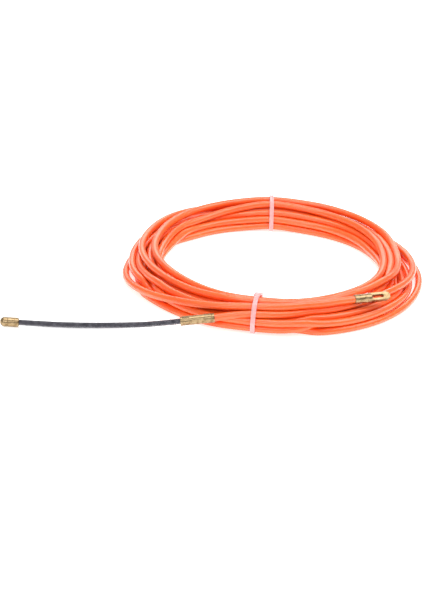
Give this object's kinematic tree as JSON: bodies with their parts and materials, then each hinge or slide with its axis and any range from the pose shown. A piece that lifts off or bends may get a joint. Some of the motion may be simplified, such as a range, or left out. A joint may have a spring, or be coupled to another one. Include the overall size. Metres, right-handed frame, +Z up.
{
  "type": "fish tape",
  "caption": "Coil of orange nylon pulling rod held by two cable ties, with a slotted brass eye on one end and a bending spring leader with a brass nose on the other.",
  "frame": {"origin": "centre of the footprint, on the surface the coil lies on", "axes": "+X the long way, from the leader's nose towards the coil's far side; +Z up, through the coil's hole"},
  "size_m": [0.2246, 0.1658, 0.0184],
  "materials": {
    "nylon_rod": "smooth, slightly translucent orange nylon",
    "brass": "bright machined brass",
    "spring_steel": "dark close-wound spring wire",
    "tie_nylon": "pale translucent nylon"
  },
  "bodies": {
    "coil": {"rod_coil": "nylon_rod", "rod_outgoing": "nylon_rod", "rod_eye_end": "nylon_rod", "rod_collar": "brass", "leader_ferrule": "brass", "leader_spring_root": "spring_steel", "eye": "brass", "front_tie": "tie_nylon", "back_tie": "tie_nylon"},
    "leader_1": {"leader_spring_1": "spring_steel"},
    "leader_2": {"leader_spring_2": "spring_steel"},
    "leader_3": {"leader_spring_3": "spring_steel"},
    "leader_4": {"leader_spring_4": "spring_steel"},
    "leader_5": {"leader_spring_5": "spring_steel"},
    "leader_nose": {"leader_spring_end": "spring_steel", "leader_tip": "brass"}
  },
  "joints": [
    {"name": "leader_sway_1", "type": "hinge", "parent": "coil", "child": "leader_1", "pos_m": [-0.03064, -0.07281, 0.00348], "axis": [0, 0, 1], "range_deg": [-25, 25], "stiffness_Nm_per_rad": 0.02},
    {"name": "leader_lift_1", "type": "hinge", "parent": "leader_1", "child": "leader_2", "pos_m": [-0.04259, -0.07385, 0.00244], "axis": [-0.0918, 0.9958, 0], "range_deg": [0, 25], "stiffness_Nm_per_rad": 0.02},
    {"name": "leader_sway_2", "type": "hinge", "parent": "leader_2", "child": "leader_3", "pos_m": [-0.05458, -0.07502, 0.00197], "axis": [0, 0, 1], "range_deg": [-25, 25], "stiffness_Nm_per_rad": 0.02},
    {"name": "leader_lift_2", "type": "hinge", "parent": "leader_3", "child": "leader_4", "pos_m": [-0.06657, -0.07615, 0.00171], "axis": [-0.0918, 0.9958, 0], "range_deg": [0, 25], "stiffness_Nm_per_rad": 0.02},
    {"name": "leader_sway_3", "type": "hinge", "parent": "leader_4", "child": "leader_5", "pos_m": [-0.07857, -0.07723, 0.0017], "axis": [0, 0, 1], "range_deg": [-25, 25], "stiffness_Nm_per_rad": 0.02},
    {"name": "leader_lift_3", "type": "hinge", "parent": "leader_5", "child": "leader_nose", "pos_m": [-0.09056, -0.07839, 0.00208], "axis": [-0.0976, 0.9952, 0], "range_deg": [0, 25], "stiffness_Nm_per_rad": 0.02}
  ],
  "couplings": [
    {"joint": "leader_sway_2", "follows": "leader_sway_1", "ratio": 1},
    {"joint": "leader_lift_2", "follows": "leader_lift_1", "ratio": 1},
    {"joint": "leader_sway_3", "follows": "leader_sway_1", "ratio": 1},
    {"joint": "leader_lift_3", "follows": "leader_lift_1", "ratio": 1}
  ]
}
